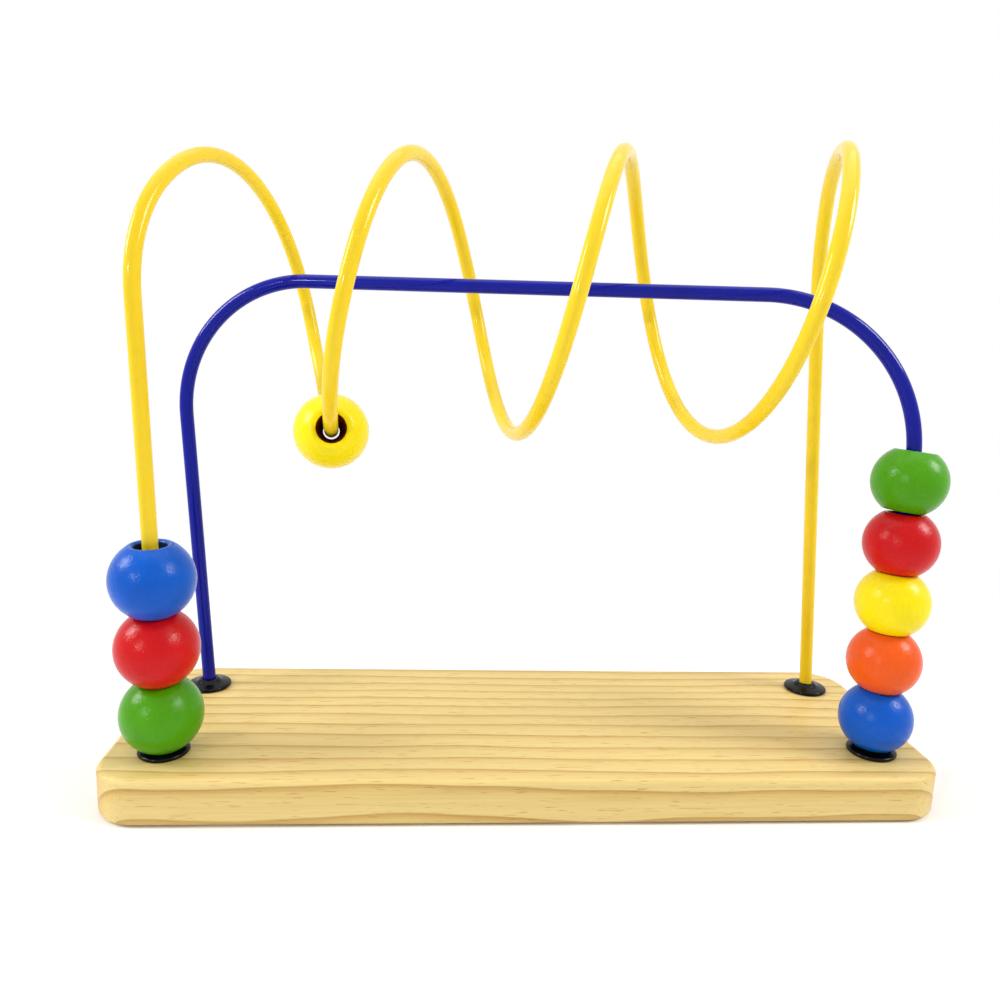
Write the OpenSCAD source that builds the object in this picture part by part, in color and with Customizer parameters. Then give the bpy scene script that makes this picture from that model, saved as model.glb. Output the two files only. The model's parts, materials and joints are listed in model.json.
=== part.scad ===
// Bead maze: two coated wires stand on a wooden board, and painted wooden beads run along them.
// One wire is a plain arch, the other is a coil that winds round the arch's top bar.
// Origin: middle of the board's underside. X runs along the board, Y to the back, Z up. Millimetres.

/* [Base board] */
// Length of the board along X
board_w = 288; // [250:1:330]
// Depth of the board along Y
board_d = 94; // [80:1:120]
// Thickness of the board
board_t = 16; // [13:0.5:24]
// Radius of the board's upright corners
board_corner_r = 15; // [5:0.5:18]
// Round-over along the board's top and bottom edges
board_edge_r = 2; // [0.5:0.25:3]
// Distance of each wire foot from the two board edges beside it
foot_inset = 19.5; // [16:0.5:26]

/* [Wire] */
// Outer diameter of the coated wire
wire_d = 5; // [4:0.1:6]
// Diameter of the threaded stud at each wire end
stud_d = 4; // [3:0.1:4]
// Straight upright length of wire above each grommet, before the leg leans
leg_upright = 1.5; // [0.5:0.25:3]

/* [Coil] */
// Radius of the coil, to the middle of the wire
coil_r = 46; // [38:0.5:52]
// Advance of the coil along X in one turn
coil_pitch = 67.4; // [58:0.2:74]
// Number of crests along the coil
coil_crests = 4; // [3:1:4]
// Height of the coil's axis above the board, at its middle
coil_h = 155.5; // [130:0.5:180]
// How much higher the axis is at its right end than at its left end
coil_rise = 7; // [0:0.5:12]
// How far the axis runs to the front between its left and right ends
coil_swing = 33.5; // [10:0.5:40]
// Place of the axis's middle along Y
coil_y = -5.75; // [-12:0.25:4]
// Place of the coil's middle along X
coil_x = -8; // [-14:0.5:6]
// How far the strokes behind the axis lie to the right of a true helix, and those in front to the left
coil_skew = 3.8; // [0:0.1:6]
// How far the first trough is pushed to the right
coil_push = 2.9; // [0:0.1:4]
// Turn on each side of the first trough over which that push fades out, in degrees
coil_push_reach = 80; // [60:5:120]
// Turn over which the coil runs out into each leg, in degrees
coil_ease = 50; // [30:1:80]

/* [Arch] */
// Height of the arch's top bar above the board
arch_h = 160; // [150:0.5:185]
// Place along X where the left leg and the bar would meet, left of the middle
arch_left_x = 133.5; // [120:0.5:142]
// Place along X where the right leg and the bar would meet
arch_right_x = 131.5; // [120:0.5:142]
// Place along Y where the left leg and the bar would meet
arch_left_y = 31; // [20:0.5:40]
// Place along Y where the right leg and the bar would meet, in front of the middle
arch_right_y = 20; // [10:0.5:32]
// Radius of the bend above the left leg
arch_left_bend_r = 48; // [30:1:70]
// Straight length of the right leg that is left above the middle of its top bead
arch_lead = 6.3; // [2:0.1:8]

/* [Beads] */
// Diameter of the beads in the left stack
left_bead_d = 27; // [25:0.25:28]
// Diameter of the bead on the coil
coil_bead_d = 26; // [24:0.25:28]
// Diameter of the beads in the right stack
right_bead_d = 25; // [24:0.25:28]
// Diameter of the flat at each end of a bead
bead_end_d = 13.6; // [12:0.1:15]
// Diameter of a bead's hole at its two mouths
bead_bore_d = 10; // [9.5:0.1:11]
// Diameter of a bead's hole at its waist, half way through
bead_waist_d = 6.2; // [6:0.1:8]
// Rounding of the hole's rim
bead_rim_r = 1.3; // [0.5:0.1:1.6]
// Gap between a bead and the bead or grommet that it rests on
bead_gap = 0.3; // [0.2:0.05:0.5]
// Gap between a bead's hole and the wire that it hangs against
hang_gap = 0.5; // [0.3:0.05:0.6]
// Direction in plan in which the left stack hangs off its leg, in degrees from X
left_hang = 315; // [180:5:360]
// Direction in plan in which the right stack hangs off its leg, in degrees from X
right_hang = 180; // [90:5:270]
// How far the top right bead lies off its leg, towards the bar
top_shift = 0.2; // [0:0.05:0.3]
// How far the top right bead is tipped away from the bar, in degrees
top_tip = 4; // [0:0.5:5]
// Turn past the trough at which the bead on the coil rests, in degrees
coil_bead_turn = 9; // [0:1:12]
// How far the front end of the bead on the coil is tipped up off the wire, in degrees
coil_bead_tip = 3; // [0:0.5:3]

/* [Grommets and fasteners] */
// Diameter of a grommet's flange
grommet_d = 17; // [14:0.25:20]
// Height of a grommet's hub above the board
grommet_h = 3.4; // [2.8:0.1:4.5]
// Height of the flange's dome above the board
dome_h = 2.6; // [2.4:0.1:3]
// Height of the flange's round outer edge
flange_edge = 1.6; // [1:0.1:2]
// Wall of the grommet's neck round the wire
neck_wall = 1.3; // [0.9:0.1:1.8]
// Wall of the grommet's hub round the wire
hub_wall = 1.2; // [1:0.1:1.4]
// Clearance all round the wire, the stud and the grommet's neck
fit_gap = 0.2; // [0.1:0.05:0.3]
// Wood left between a grommet's neck and the recess under the board
web_t = 2.5; // [2:0.25:4]
// Diameter of the recess under the board
recess_d = 12; // [11.5:0.25:15]
// Diameter of a washer
washer_d = 9; // [8.5:0.25:10]
// Thickness of a washer
washer_t = 0.8; // [0.5:0.1:1.2]
// Width of a nut across its flats
nut_af = 7; // [6.5:0.1:7.5]
// Height of a nut
nut_h = 3.2; // [2.4:0.1:4]
// Length of stud that stands out below the nut
stud_out = 0.8; // [0.4:0.1:1.2]
// Depth of the stud's tip inside the board
stud_sunk = 1.2; // [0.8:0.1:2]

/* [Hidden] */
$fn = 64;

// Sides of a swept wire, turn between its rings, and how deep a stud starts inside it
wire_sides = 12;
ring_turn = 6;
stud_root = 3;
// Overshoot of a cut past the face that it opens
cut_past = 1;
deg_per_rad = 180 / PI;

// Colours
pine = [0.93, 0.80, 0.56];
wire_yellow = [0.97, 0.79, 0.09];
wire_blue = [0.07, 0.09, 0.55];
black = [0.05, 0.05, 0.05];
steel = [0.62, 0.63, 0.65];
bead_green = [0.29, 0.64, 0.04];
bead_red = [0.81, 0.09, 0.11];
bead_blue = [0.06, 0.36, 0.76];
bead_lemon = [0.98, 0.90, 0.10];
bead_orange = [0.95, 0.41, 0.13];

// Wire feet, and the levels inside the board
wire_r = wire_d / 2;
foot_x = board_w / 2 - foot_inset;
foot_y = board_d / 2 - foot_inset;
recess_h = stud_sunk + stud_out + nut_h + washer_t;
web_top = recess_h + web_t;
washer_z = recess_h - washer_t;
nut_z = washer_z - nut_h;
knee_z = board_t + grommet_h + leg_upright;
foot_fl = [-foot_x, -foot_y, 0];
foot_fr = [foot_x, -foot_y, 0];
foot_bl = [-foot_x, foot_y, 0];
foot_br = [foot_x, foot_y, 0];
feet = [foot_fl, foot_fr, foot_bl, foot_br];

// Grommet sizes that follow the wire
neck_r = wire_r + fit_gap + neck_wall;
hub_r = wire_r + fit_gap + hub_wall;

// The flange's dome runs from the wire to the top of its round edge
dome_reach = (grommet_d - flange_edge) / 2;
dome_drop = dome_h - flange_edge;
dome_r = (dome_reach * dome_reach + dome_drop * dome_drop) / (2 * dome_drop);
function dome_height(r) = dome_h - dome_r + sqrt(dome_r * dome_r - r * r);

// Bead sizes
function bead_length(d) = sqrt(d * d - bead_end_d * bead_end_d);
function bead_step(d) = bead_length(d) + bead_gap;
bore_r = bead_bore_d / 2;
waist_r = max(bead_waist_d / 2, wire_r + hang_gap);
bead_play = waist_r - wire_r - hang_gap;
rim_r = min(bead_rim_r, bead_end_d / 2 - bore_r);
rim_x = bore_r + rim_r;
// Height above the board of the lowest bead's middle: its end rests on the dome, and its lean takes room
function lean(dir) = norm([dir[0], dir[1]]) / dir[2];
function stack_base(d, dir) =
    dome_height(rim_x - bead_play) + bead_gap + lean(dir) * bead_end_d / 2 + bead_length(d) / 2;

// Vector helpers
function unit(v) = v / norm(v);
function at_height(p, z) = [p[0], p[1], z];
function across(v, dir) = unit(v - (v * dir) * dir);
function plan_dir(a) = [cos(a), sin(a), 0];
function tangent(path, i) =
    let (last = len(path) - 1)
    let (ahead = path[min(i + 1, last)] - path[min(i, last - 1)])
    let (behind = path[max(i, 1)] - path[max(i - 1, 0)])
    unit(unit(ahead) + unit(behind));

// Coil: its angle is 0 on the first crest and 180 in the first trough, and the strokes going down are
// behind. Each leg is a straight line that touches the coil's circle, so the wire has no corner there.
coil_last = 360 * (coil_crests - 1);
coil_left_c = [0, coil_y + coil_swing / 2, board_t + coil_h - coil_rise / 2];
coil_right_c = [0, coil_y - coil_swing / 2, board_t + coil_h + coil_rise / 2];
function leg_reach(dy, dz) = sqrt(dy * dy + dz * dz - coil_r * coil_r);
function leg_lean(dy, dz) = asin(coil_r / norm([dy, dz])) - atan2(dy, dz);
left_leg = [coil_left_c[1] + foot_y, coil_left_c[2] - knee_z];
right_leg = [foot_y - coil_right_c[1], coil_right_c[2] - knee_z];
coil_start = -90 - leg_lean(left_leg[0], left_leg[1]);
coil_end = coil_last + 90 + leg_lean(right_leg[0], right_leg[1]);

// Advance along X, in millimetres a radian, eased at both ends into the lean that brings a leg to its foot
ease_rad = coil_ease / deg_per_rad;
ease_in = coil_start + coil_ease;
ease_out = coil_end - coil_ease;
trough = 180;
function push_x(a) =
    abs(a - trough) < coil_push_reach
    ? coil_push * pow(cos(90 * (a - trough) / coil_push_reach), 2)
    : 0;
function helix_x(a) = coil_x + coil_pitch * (a - coil_last / 2) / 360 + coil_skew * sin(a) + push_x(a);
function helix_slope(a) = coil_pitch / (2 * PI) + coil_skew * cos(a);
slope_in = helix_slope(ease_in);
slope_out = helix_slope(ease_out);
left_slope = (helix_x(ease_in) - slope_in * ease_rad / 2 + foot_x)
    / (ease_rad / 2 + leg_reach(left_leg[0], left_leg[1]) / coil_r);
right_slope = (foot_x - helix_x(ease_out) - slope_out * ease_rad / 2)
    / (ease_rad / 2 + leg_reach(right_leg[0], right_leg[1]) / coil_r);
function coil_px(a) =
    a < ease_in
    ? let (w = (ease_in - a) / deg_per_rad)
      helix_x(ease_in) - slope_in * w + (slope_in - left_slope) * w * w / (2 * ease_rad)
    : a > ease_out
    ? let (w = (a - ease_out) / deg_per_rad)
      helix_x(ease_out) + slope_out * w - (slope_out - right_slope) * w * w / (2 * ease_rad)
    : helix_x(a);
function coil_point(a) =
    let (t = (a - coil_start) / (coil_end - coil_start))
    let (c = coil_left_c + (coil_right_c - coil_left_c) * t)
    [coil_px(a), c[1] + coil_r * sin(a), c[2] + coil_r * cos(a)];

coil_rings = ceil((coil_end - coil_start) / ring_turn);
coil_path = [for (i = [0:coil_rings]) coil_point(coil_start + (coil_end - coil_start) * i / coil_rings)];
yellow_path = concat(
    [at_height(foot_fl, web_top), at_height(foot_fl, knee_z)],
    coil_path,
    [at_height(foot_br, knee_z), at_height(foot_br, web_top)]);

// Least gap between turns, measured from ring to ring over more than half a turn
half_turn_rings = ceil(coil_rings * 180 / (coil_end - coil_start));
turn_gap = min([for (i = [0:coil_rings - half_turn_rings])
    min([for (j = [i + half_turn_rings:coil_rings]) norm(coil_path[i] - coil_path[j])])]) - wire_d;
echo(least_gap_between_turns = turn_gap);

// Arch: leg, bend, bar, bend, leg
arch_left = [-arch_left_x, arch_left_y, board_t + arch_h];
arch_right = [arch_right_x, -arch_right_y, board_t + arch_h];
knee_bl = at_height(foot_bl, knee_z);
knee_fr = at_height(foot_fr, knee_z);
// A bend at a corner: half its opening, its centre, and its points from the first leg to the second
function half_open(p, corner, q) = acos(unit(p - corner) * unit(q - corner)) / 2;
function bend_centre(p, corner, q, r) =
    corner + unit(unit(p - corner) + unit(q - corner)) * r / sin(half_open(p, corner, q));
function bend_points(p, corner, q, r) =
    let (h = half_open(p, corner, q))
    let (c = bend_centre(p, corner, q, r))
    let (first = corner + unit(p - corner) * r / tan(h) - c)
    let (along = unit(corner - p) * r)
    let (turn = 180 - 2 * h)
    let (n = ceil(turn / ring_turn))
    [for (i = [0:n]) c + first * cos(turn * i / n) + along * sin(turn * i / n)];

// The right bend starts just above the middle of the top bead of the stack on that leg
right_dir = unit(arch_right - knee_fr);
right_seat = knee_fr + right_dir * (board_t - knee_z) / right_dir[2];
right_count = 5;
top_gap = bead_end_d / 2 * sin(top_tip);
right_base_s = stack_base(right_bead_d, right_dir) / right_dir[2];
right_top_s = right_base_s + (right_count - 1) * bead_step(right_bead_d) + top_gap;
right_straight = norm(arch_right - right_seat) - right_top_s - arch_lead;
arch_right_bend_r = right_straight * tan(half_open(arch_left, arch_right, knee_fr));
bend_c = bend_centre(arch_left, arch_right, knee_fr, arch_right_bend_r);
blue_path = concat(
    [at_height(foot_bl, web_top), knee_bl],
    bend_points(knee_bl, arch_left, arch_right, arch_left_bend_r),
    bend_points(arch_left, arch_right, knee_fr, arch_right_bend_r),
    [knee_fr, at_height(foot_fr, web_top)]);

// Places of the beads: point and direction of the hole
left_dir = unit(coil_path[0] - at_height(foot_fl, knee_z));
left_seat = at_height(foot_fl, knee_z) + left_dir * (board_t - knee_z) / left_dir[2];
left_base_s = stack_base(left_bead_d, left_dir) / left_dir[2];
function left_place(i) =
    left_seat + left_dir * (left_base_s + i * bead_step(left_bead_d))
    + across(plan_dir(left_hang), left_dir) * bead_play;
function right_place(i) =
    right_seat + right_dir * (right_base_s + i * bead_step(right_bead_d))
    + across(plan_dir(right_hang), right_dir) * bead_play;
// The top right bead is tipped away from the middle of the bend that it rides on
to_bend = across(bend_c - right_seat, right_dir);
top_place = right_seat + right_dir * right_top_s + to_bend * top_shift;
top_dir = right_dir * cos(top_tip) - to_bend * sin(top_tip);
// The bead on the coil follows the circle through three points of the wire
rest = trough + coil_bead_turn;
probe = 25;
rest_from = coil_point(rest - probe);
rest_to = coil_point(rest + probe);
rest_dir = unit(rest_to - rest_from);
rest_up = across((rest_from + rest_to) / 2 - coil_point(rest), rest_dir);
coil_bead_dir = rest_dir * cos(coil_bead_tip) + rest_up * sin(coil_bead_tip);
coil_bead_place = coil_point(rest) - across(rest_up, coil_bead_dir) * bead_play;

// Sweeps a round wire along a path, with its rings turned to a reference direction
module swept_wire(path, reference) {
    last = len(path) - 1;
    function ring(i) =
        let (t = tangent(path, i))
        let (n = across(reference, t))
        let (b = cross(t, n))
        [for (k = [0:wire_sides - 1])
            path[i] + wire_r * (n * cos(k * 360 / wire_sides) + b * sin(k * 360 / wire_sides))];
    sides = [for (i = [0:last - 1], k = [0:wire_sides - 1])
        let (low = i * wire_sides)
        let (high = low + wire_sides)
        let (next = (k + 1) % wire_sides)
        each [[low + k, high + k, high + next], [low + k, high + next, low + next]]];
    first_cap = [for (k = [0:wire_sides - 1]) k];
    last_cap = [for (k = [wire_sides - 1:-1:0]) last * wire_sides + k];
    polyhedron(points = [for (i = [0:last]) each ring(i)], faces = concat(sides, [first_cap, last_cap]));
}

// Threaded end of a wire, without its thread
module stud(foot) {
    translate(at_height(foot, stud_sunk))
        cylinder(d = stud_d, h = web_top - stud_sunk + stud_root);
}

module yellow_wire() {
    color(wire_yellow) {
        swept_wire(yellow_path, [1, 0, 0]);
        stud(foot_fl);
        stud(foot_br);
    }
}

module blue_wire() {
    color(wire_blue) {
        swept_wire(blue_path, [0, 1, 0]);
        stud(foot_bl);
        stud(foot_fr);
    }
}

// Rectangle with rounded corners, centred along X and standing on Y = 0
module round_rect(w, h, r) {
    translate([-w / 2, r]) square([w, h - 2 * r]);
    translate([r - w / 2, 0]) square([w - 2 * r, h]);
    for (x = [r - w / 2, w / 2 - r], y = [r, h - r])
        translate([x, y]) circle(r);
}

// Board with rounded upright corners and eased edges
module board_blank() {
    inner_x = board_w / 2 - board_corner_r;
    inner_y = board_d / 2 - board_corner_r;
    rotate([90, 0, 90])
        linear_extrude(2 * inner_x, center = true) round_rect(board_d, board_t, board_edge_r);
    rotate([90, 0, 0])
        linear_extrude(2 * inner_y, center = true) round_rect(board_w, board_t, board_edge_r);
    for (x = [-inner_x, inner_x], y = [-inner_y, inner_y])
        translate([x, y, 0])
            rotate_extrude() intersection() {
                round_rect(2 * board_corner_r, board_t, board_edge_r);
                square([board_corner_r, board_t]);
            }
}

module base_board() {
    color(pine) difference() {
        board_blank();
        for (foot = feet) {
            translate(at_height(foot, web_top)) cylinder(r = neck_r + fit_gap, h = board_t);
            translate(at_height(foot, -cut_past)) cylinder(r = stud_d / 2 + fit_gap, h = board_t);
            translate(at_height(foot, -cut_past)) cylinder(d = recess_d, h = recess_h + cut_past);
        }
    }
}

// Grommet: domed flange with a round edge on the board, hub round the wire, neck down into the board
module grommet(foot) {
    edge_r = flange_edge / 2;
    color(black) translate(at_height(foot, board_t)) rotate_extrude() difference() {
        union() {
            intersection() {
                translate([0, dome_h - dome_r]) circle(dome_r);
                square([dome_reach, dome_h]);
            }
            translate([dome_reach, edge_r]) circle(edge_r);
            square([hub_r, grommet_h]);
            translate([0, web_top - board_t]) square([neck_r, board_t - web_top + flange_edge]);
        }
        translate([0, web_top - board_t - cut_past])
            square([wire_r + fit_gap, board_t - web_top + grommet_h + 2 * cut_past]);
    }
}

module front_left_grommet() { grommet(foot_fl); }
module front_right_grommet() { grommet(foot_fr); }
module back_left_grommet() { grommet(foot_bl); }
module back_right_grommet() { grommet(foot_br); }

module foot_washers() {
    color(steel) for (foot = feet)
        translate(at_height(foot, washer_z)) difference() {
            cylinder(d = washer_d, h = washer_t);
            translate([0, 0, -cut_past]) cylinder(r = stud_d / 2 + fit_gap, h = washer_t + 2 * cut_past);
        }
}

module foot_nuts() {
    color(steel) for (foot = feet)
        translate(at_height(foot, nut_z)) difference() {
            cylinder(d = nut_af / cos(30), h = nut_h, $fn = 6);
            translate([0, 0, -cut_past]) cylinder(r = stud_d / 2 + fit_gap / 2, h = nut_h + 2 * cut_past);
        }
}

// Wooden bead: a ball with flattened ends and a hole that narrows from its rounded rims to a waist
module bead(d, place, dir, colour) {
    rim_y = bead_length(d) / 2 - rim_r;
    color(colour) translate(place)
        rotate([0, acos(dir[2]), atan2(dir[1], dir[0])])
            rotate_extrude() {
                intersection() {
                    circle(d = d);
                    translate([rim_x, -bead_length(d) / 2]) square([d, bead_length(d)]);
                }
                polygon([[bore_r, rim_y], [waist_r, 0], [bore_r, -rim_y], [rim_x, -rim_y], [rim_x, rim_y]]);
                for (y = [-rim_y, rim_y]) translate([rim_x, y]) circle(rim_r);
            }
}

module left_bead_green() { bead(left_bead_d, left_place(0), left_dir, bead_green); }
module left_bead_red() { bead(left_bead_d, left_place(1), left_dir, bead_red); }
module left_bead_blue() { bead(left_bead_d, left_place(2), left_dir, bead_blue); }
module coil_bead_yellow() { bead(coil_bead_d, coil_bead_place, coil_bead_dir, bead_lemon); }
module right_bead_blue() { bead(right_bead_d, right_place(0), right_dir, bead_blue); }
module right_bead_orange() { bead(right_bead_d, right_place(1), right_dir, bead_orange); }
module right_bead_yellow() { bead(right_bead_d, right_place(2), right_dir, bead_lemon); }
module right_bead_red() { bead(right_bead_d, right_place(3), right_dir, bead_red); }
module right_bead_green() { bead(right_bead_d, top_place, top_dir, bead_green); }

base_board();
yellow_wire();
blue_wire();
front_left_grommet();
front_right_grommet();
back_left_grommet();
back_right_grommet();
foot_washers();
foot_nuts();
left_bead_green();
left_bead_red();
left_bead_blue();
coil_bead_yellow();
right_bead_blue();
right_bead_orange();
right_bead_yellow();
right_bead_red();
right_bead_green();
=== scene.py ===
# %% [markdown]
# # Bead maze
# A pine board carries two coated wires. The blue one is a plain arch, and the yellow one coils round
# the arch's top bar. Painted wooden beads with wide holes run along both. The solids come from the
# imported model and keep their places. This lesson sets camera, light and floor, and then gives each
# piece its smooth surface and its finish.

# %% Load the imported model
import json
import math
import bmesh
import bpy
from mathutils import Matrix, Quaternion, Vector


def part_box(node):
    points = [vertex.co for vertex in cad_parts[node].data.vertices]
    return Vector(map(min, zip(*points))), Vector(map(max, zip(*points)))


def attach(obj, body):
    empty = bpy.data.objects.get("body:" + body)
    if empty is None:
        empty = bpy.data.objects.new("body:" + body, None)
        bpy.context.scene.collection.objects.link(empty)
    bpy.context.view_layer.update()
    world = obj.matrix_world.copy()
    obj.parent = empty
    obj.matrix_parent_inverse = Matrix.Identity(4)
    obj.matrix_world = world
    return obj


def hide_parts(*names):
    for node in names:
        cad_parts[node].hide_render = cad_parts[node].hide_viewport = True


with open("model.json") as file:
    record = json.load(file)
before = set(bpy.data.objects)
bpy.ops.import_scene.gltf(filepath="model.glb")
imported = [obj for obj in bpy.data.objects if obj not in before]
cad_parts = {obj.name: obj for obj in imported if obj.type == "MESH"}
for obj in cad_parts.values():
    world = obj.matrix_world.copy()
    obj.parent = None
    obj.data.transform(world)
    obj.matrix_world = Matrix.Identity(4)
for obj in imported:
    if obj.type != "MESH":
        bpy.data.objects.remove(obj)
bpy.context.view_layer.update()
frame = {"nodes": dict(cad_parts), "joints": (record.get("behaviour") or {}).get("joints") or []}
joints = {joint["name"]: joint for joint in frame["joints"]}
scene = bpy.context.scene

# %% [markdown]
# ## Camera
# The toy is seen from the front, a little from above and from left of its middle, through a wide lens
# that makes the front of the board look larger than its back. Place, turn and lens were worked out from
# the wires' outlines. The camera's matrix is built from three turns, because that is easier to check
# than a target object.

# %% Set the camera
view_yaw, view_pitch, view_roll = math.radians(-4.41), math.radians(10.58), math.radians(-2.15)
view_place = Vector((-0.0338, -0.2902, 0.1547))
level_right = Vector((math.cos(view_yaw), math.sin(view_yaw), 0))
level_ahead = Vector((-math.sin(view_yaw), math.cos(view_yaw), 0))
ahead = level_ahead * math.cos(view_pitch) - Vector((0, 0, 1)) * math.sin(view_pitch)
upright = Vector((0, 0, 1)) * math.cos(view_pitch) + level_ahead * math.sin(view_pitch)
right = level_right * math.cos(view_roll) - upright * math.sin(view_roll)
up = upright * math.cos(view_roll) + level_right * math.sin(view_roll)
lens = bpy.data.cameras.new("camera")
lens.sensor_width = 36
lens.lens = 36 * 0.814
lens.clip_start = 0.01
camera = bpy.data.objects.new("camera", lens)
camera.matrix_world = Matrix((right, up, -ahead)).transposed().to_4x4()
camera.location = view_place
scene.collection.objects.link(camera)
scene.camera = camera
print("camera at", tuple(round(v, 4) for v in view_place), "lens", round(lens.lens, 2), "mm")

# %% [markdown]
# ## Light and floor
# Two soft boxes stand far out on the left and the right, and give every bead its pair of soft
# highlights. A small lamp in front on the left adds the bright dot, and a wide panel overhead softens
# the shadows. The world is pale for the light that it gives, and plain white where the camera looks at
# it. A glossy face mirrors the same white, as it would in a white studio. The floor turns white in the
# same way some way off, and keeps the toy's shadow close by. It has an opening where the board hides
# it, which lets light reach the underside.

# %% Set the view transform
scene.view_settings.view_transform = "Standard"
print("view transform:", scene.view_settings.view_transform)

# %% Write the node helpers


def put(tree, kind, **values):
    """Adds a node and sets its properties and its inputs, which are named in words with _ for spaces."""
    node = tree.nodes.new(kind)
    for name, value in values.items():
        words = name.replace("_", " ")
        if hasattr(node, name):
            setattr(node, name, value)
        elif isinstance(value, bpy.types.NodeSocket):
            tree.links.new(value, node.inputs[words])
        else:
            node.inputs[words].default_value = value
    return node


def math_node(tree, operation, *terms):
    """A Math node whose terms are numbers or sockets."""
    node = tree.nodes.new("ShaderNodeMath")
    node.operation = operation
    for socket, term in zip(node.inputs, terms):
        if isinstance(term, bpy.types.NodeSocket):
            tree.links.new(term, socket)
        else:
            socket.default_value = term
    return node.outputs[0]


print("node helpers ready")

# %% Make the world


def background_rays(tree):
    """Gives 1 for a ray that shows the background: to the camera, off a glossy or through a clear face."""
    rays = put(tree, "ShaderNodeLightPath")
    seen = math_node(tree, "MAXIMUM", rays.outputs["Is Camera Ray"], rays.outputs["Is Glossy Ray"])
    return math_node(tree, "MAXIMUM", seen, rays.outputs["Is Transmission Ray"])


world = bpy.data.worlds.new("pale room")
scene.world = world
world.use_nodes = True
room = world.node_tree
room.nodes.clear()
room_light = 0.44
extra = math_node(room, "MULTIPLY", background_rays(room), 1 - room_light)
strength = math_node(room, "ADD", extra, room_light)
sky = put(room, "ShaderNodeBackground", Color=(1, 1, 1, 1), Strength=strength)
put(room, "ShaderNodeOutputWorld", Surface=sky.outputs[0])
print("world light", room_light)

# %% Hang the lamps


def soft_box(name, place, target, width, height, power):
    """A rectangular lamp that faces a target."""
    light = bpy.data.lights.new(name, "AREA")
    light.shape = "RECTANGLE"
    light.size, light.size_y, light.energy = width, height, power
    lamp = bpy.data.objects.new(name, light)
    lamp.location = place
    lamp.rotation_euler = (Vector(target) - Vector(place)).to_track_quat("-Z", "Y").to_euler()
    scene.collection.objects.link(lamp)
    return lamp


toy_middle = (0, 0, 0.1)
lamps = [
    soft_box("left box", (-0.86, -0.10, 0.60), toy_middle, 0.34, 0.34, 5.2),
    soft_box("right box", (0.77, -0.25, 0.66), toy_middle, 0.34, 0.34, 5.2),
    soft_box("small lamp", (-0.52, -0.66, 0.34), toy_middle, 0.055, 0.055, 1.1),
    soft_box("ceiling panel", (0, 0.1, 1.2), toy_middle, 1.4, 1.0, 5.0),
]
print("lamps:", [lamp.name for lamp in lamps])

# %% Cut the floor
floor_height = -0.0004
floor_mesh = bpy.data.meshes.new("floor")
shape = bmesh.new()
bmesh.ops.create_circle(shape, cap_ends=False, segments=96, radius=2.0)
open_x, open_y, cut = 0.1395, 0.0425, 0.011
quarter = [(open_x, open_y - cut), (open_x - cut, open_y)]
rim = quarter + [(-x, y) for x, y in reversed(quarter)]
rim += [(-x, -y) for x, y in rim]
corners = [shape.verts.new((x, y, 0)) for x, y in rim]
for i in range(len(corners)):
    shape.edges.new((corners[i - 1], corners[i]))
bmesh.ops.triangle_fill(shape, use_beauty=True, edges=shape.edges[:], normal=(0, 0, 1))
shape.to_mesh(floor_mesh)
shape.free()
floor_mesh.transform(Matrix.Translation((0, 0, floor_height)))
floor = bpy.data.objects.new("floor", floor_mesh)
scene.collection.objects.link(floor)
print("floor:", len(floor_mesh.polygons), "triangles at z", floor_height)

# %% Give the floor its pale surface
floor_finish = bpy.data.materials.new("pale floor")
floor_finish.use_nodes = True
ground = floor_finish.node_tree
ground.nodes.clear()
spot = put(ground, "ShaderNodeTexCoord")
speckle = put(ground, "ShaderNodeTexNoise", Vector=spot.outputs["Object"], Scale=900.0, Detail=3.0)
paper = put(ground, "ShaderNodeMapRange", Value=speckle.outputs["Fac"])
paper.inputs["To Min"].default_value, paper.inputs["To Max"].default_value = 0.92, 0.95
sheet = put(ground, "ShaderNodeBsdfDiffuse", Color=paper.outputs[0])
floor_mesh.materials.append(floor_finish)
print("finish:", floor_finish.name)

# %% Let the floor turn white far off, and see-through from below
fade_start, fade_end = 0.16, 0.5
away = put(ground, "ShaderNodeVectorMath", operation="LENGTH")
ground.links.new(spot.outputs["Object"], away.inputs[0])
fade = put(ground, "ShaderNodeMapRange", interpolation_type="SMOOTHSTEP", Value=away.outputs["Value"])
fade.inputs["From Min"].default_value, fade.inputs["From Max"].default_value = fade_start, fade_end
white = put(ground, "ShaderNodeEmission", Strength=1.0)
sight = math_node(ground, "MULTIPLY", background_rays(ground), fade.outputs[0])
lit = put(ground, "ShaderNodeMixShader")
ground.links.new(sight, lit.inputs[0])
ground.links.new(sheet.outputs[0], lit.inputs[1])
ground.links.new(white.outputs[0], lit.inputs[2])
side = put(ground, "ShaderNodeNewGeometry")
open_below = put(ground, "ShaderNodeMixShader")
ground.links.new(side.outputs["Backfacing"], open_below.inputs[0])
ground.links.new(lit.outputs[0], open_below.inputs[1])
ground.links.new(put(ground, "ShaderNodeBsdfTransparent").outputs[0], open_below.inputs[2])
put(ground, "ShaderNodeOutputMaterial", Surface=open_below.outputs[0])
print("floor turns white from", fade_start, "to", fade_end, "m")

# %% [markdown]
# ## Finish: pine
# The board is a plank of pale pine, sanded and lacquered. Its lines are the dark late wood of the year
# rings, and the plank was sawn well away from the heart of the tree, so they run nearly straight along
# it. A solid texture gives them: the distance from the heart's line, cut into rings. The same rings
# then turn up as curved bands on the end grain, which a picture on the top face could never do.

# %% Read colours and start a finish


def shade(red, green, blue):
    """A colour as it is read on a screen, from 0 to 255, turned into the linear values that shaders use."""
    def linear(value):
        value /= 255
        return value / 12.92 if value <= 0.04045 else ((value + 0.055) / 1.055) ** 2.4
    return (linear(red), linear(green), linear(blue), 1)


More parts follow.
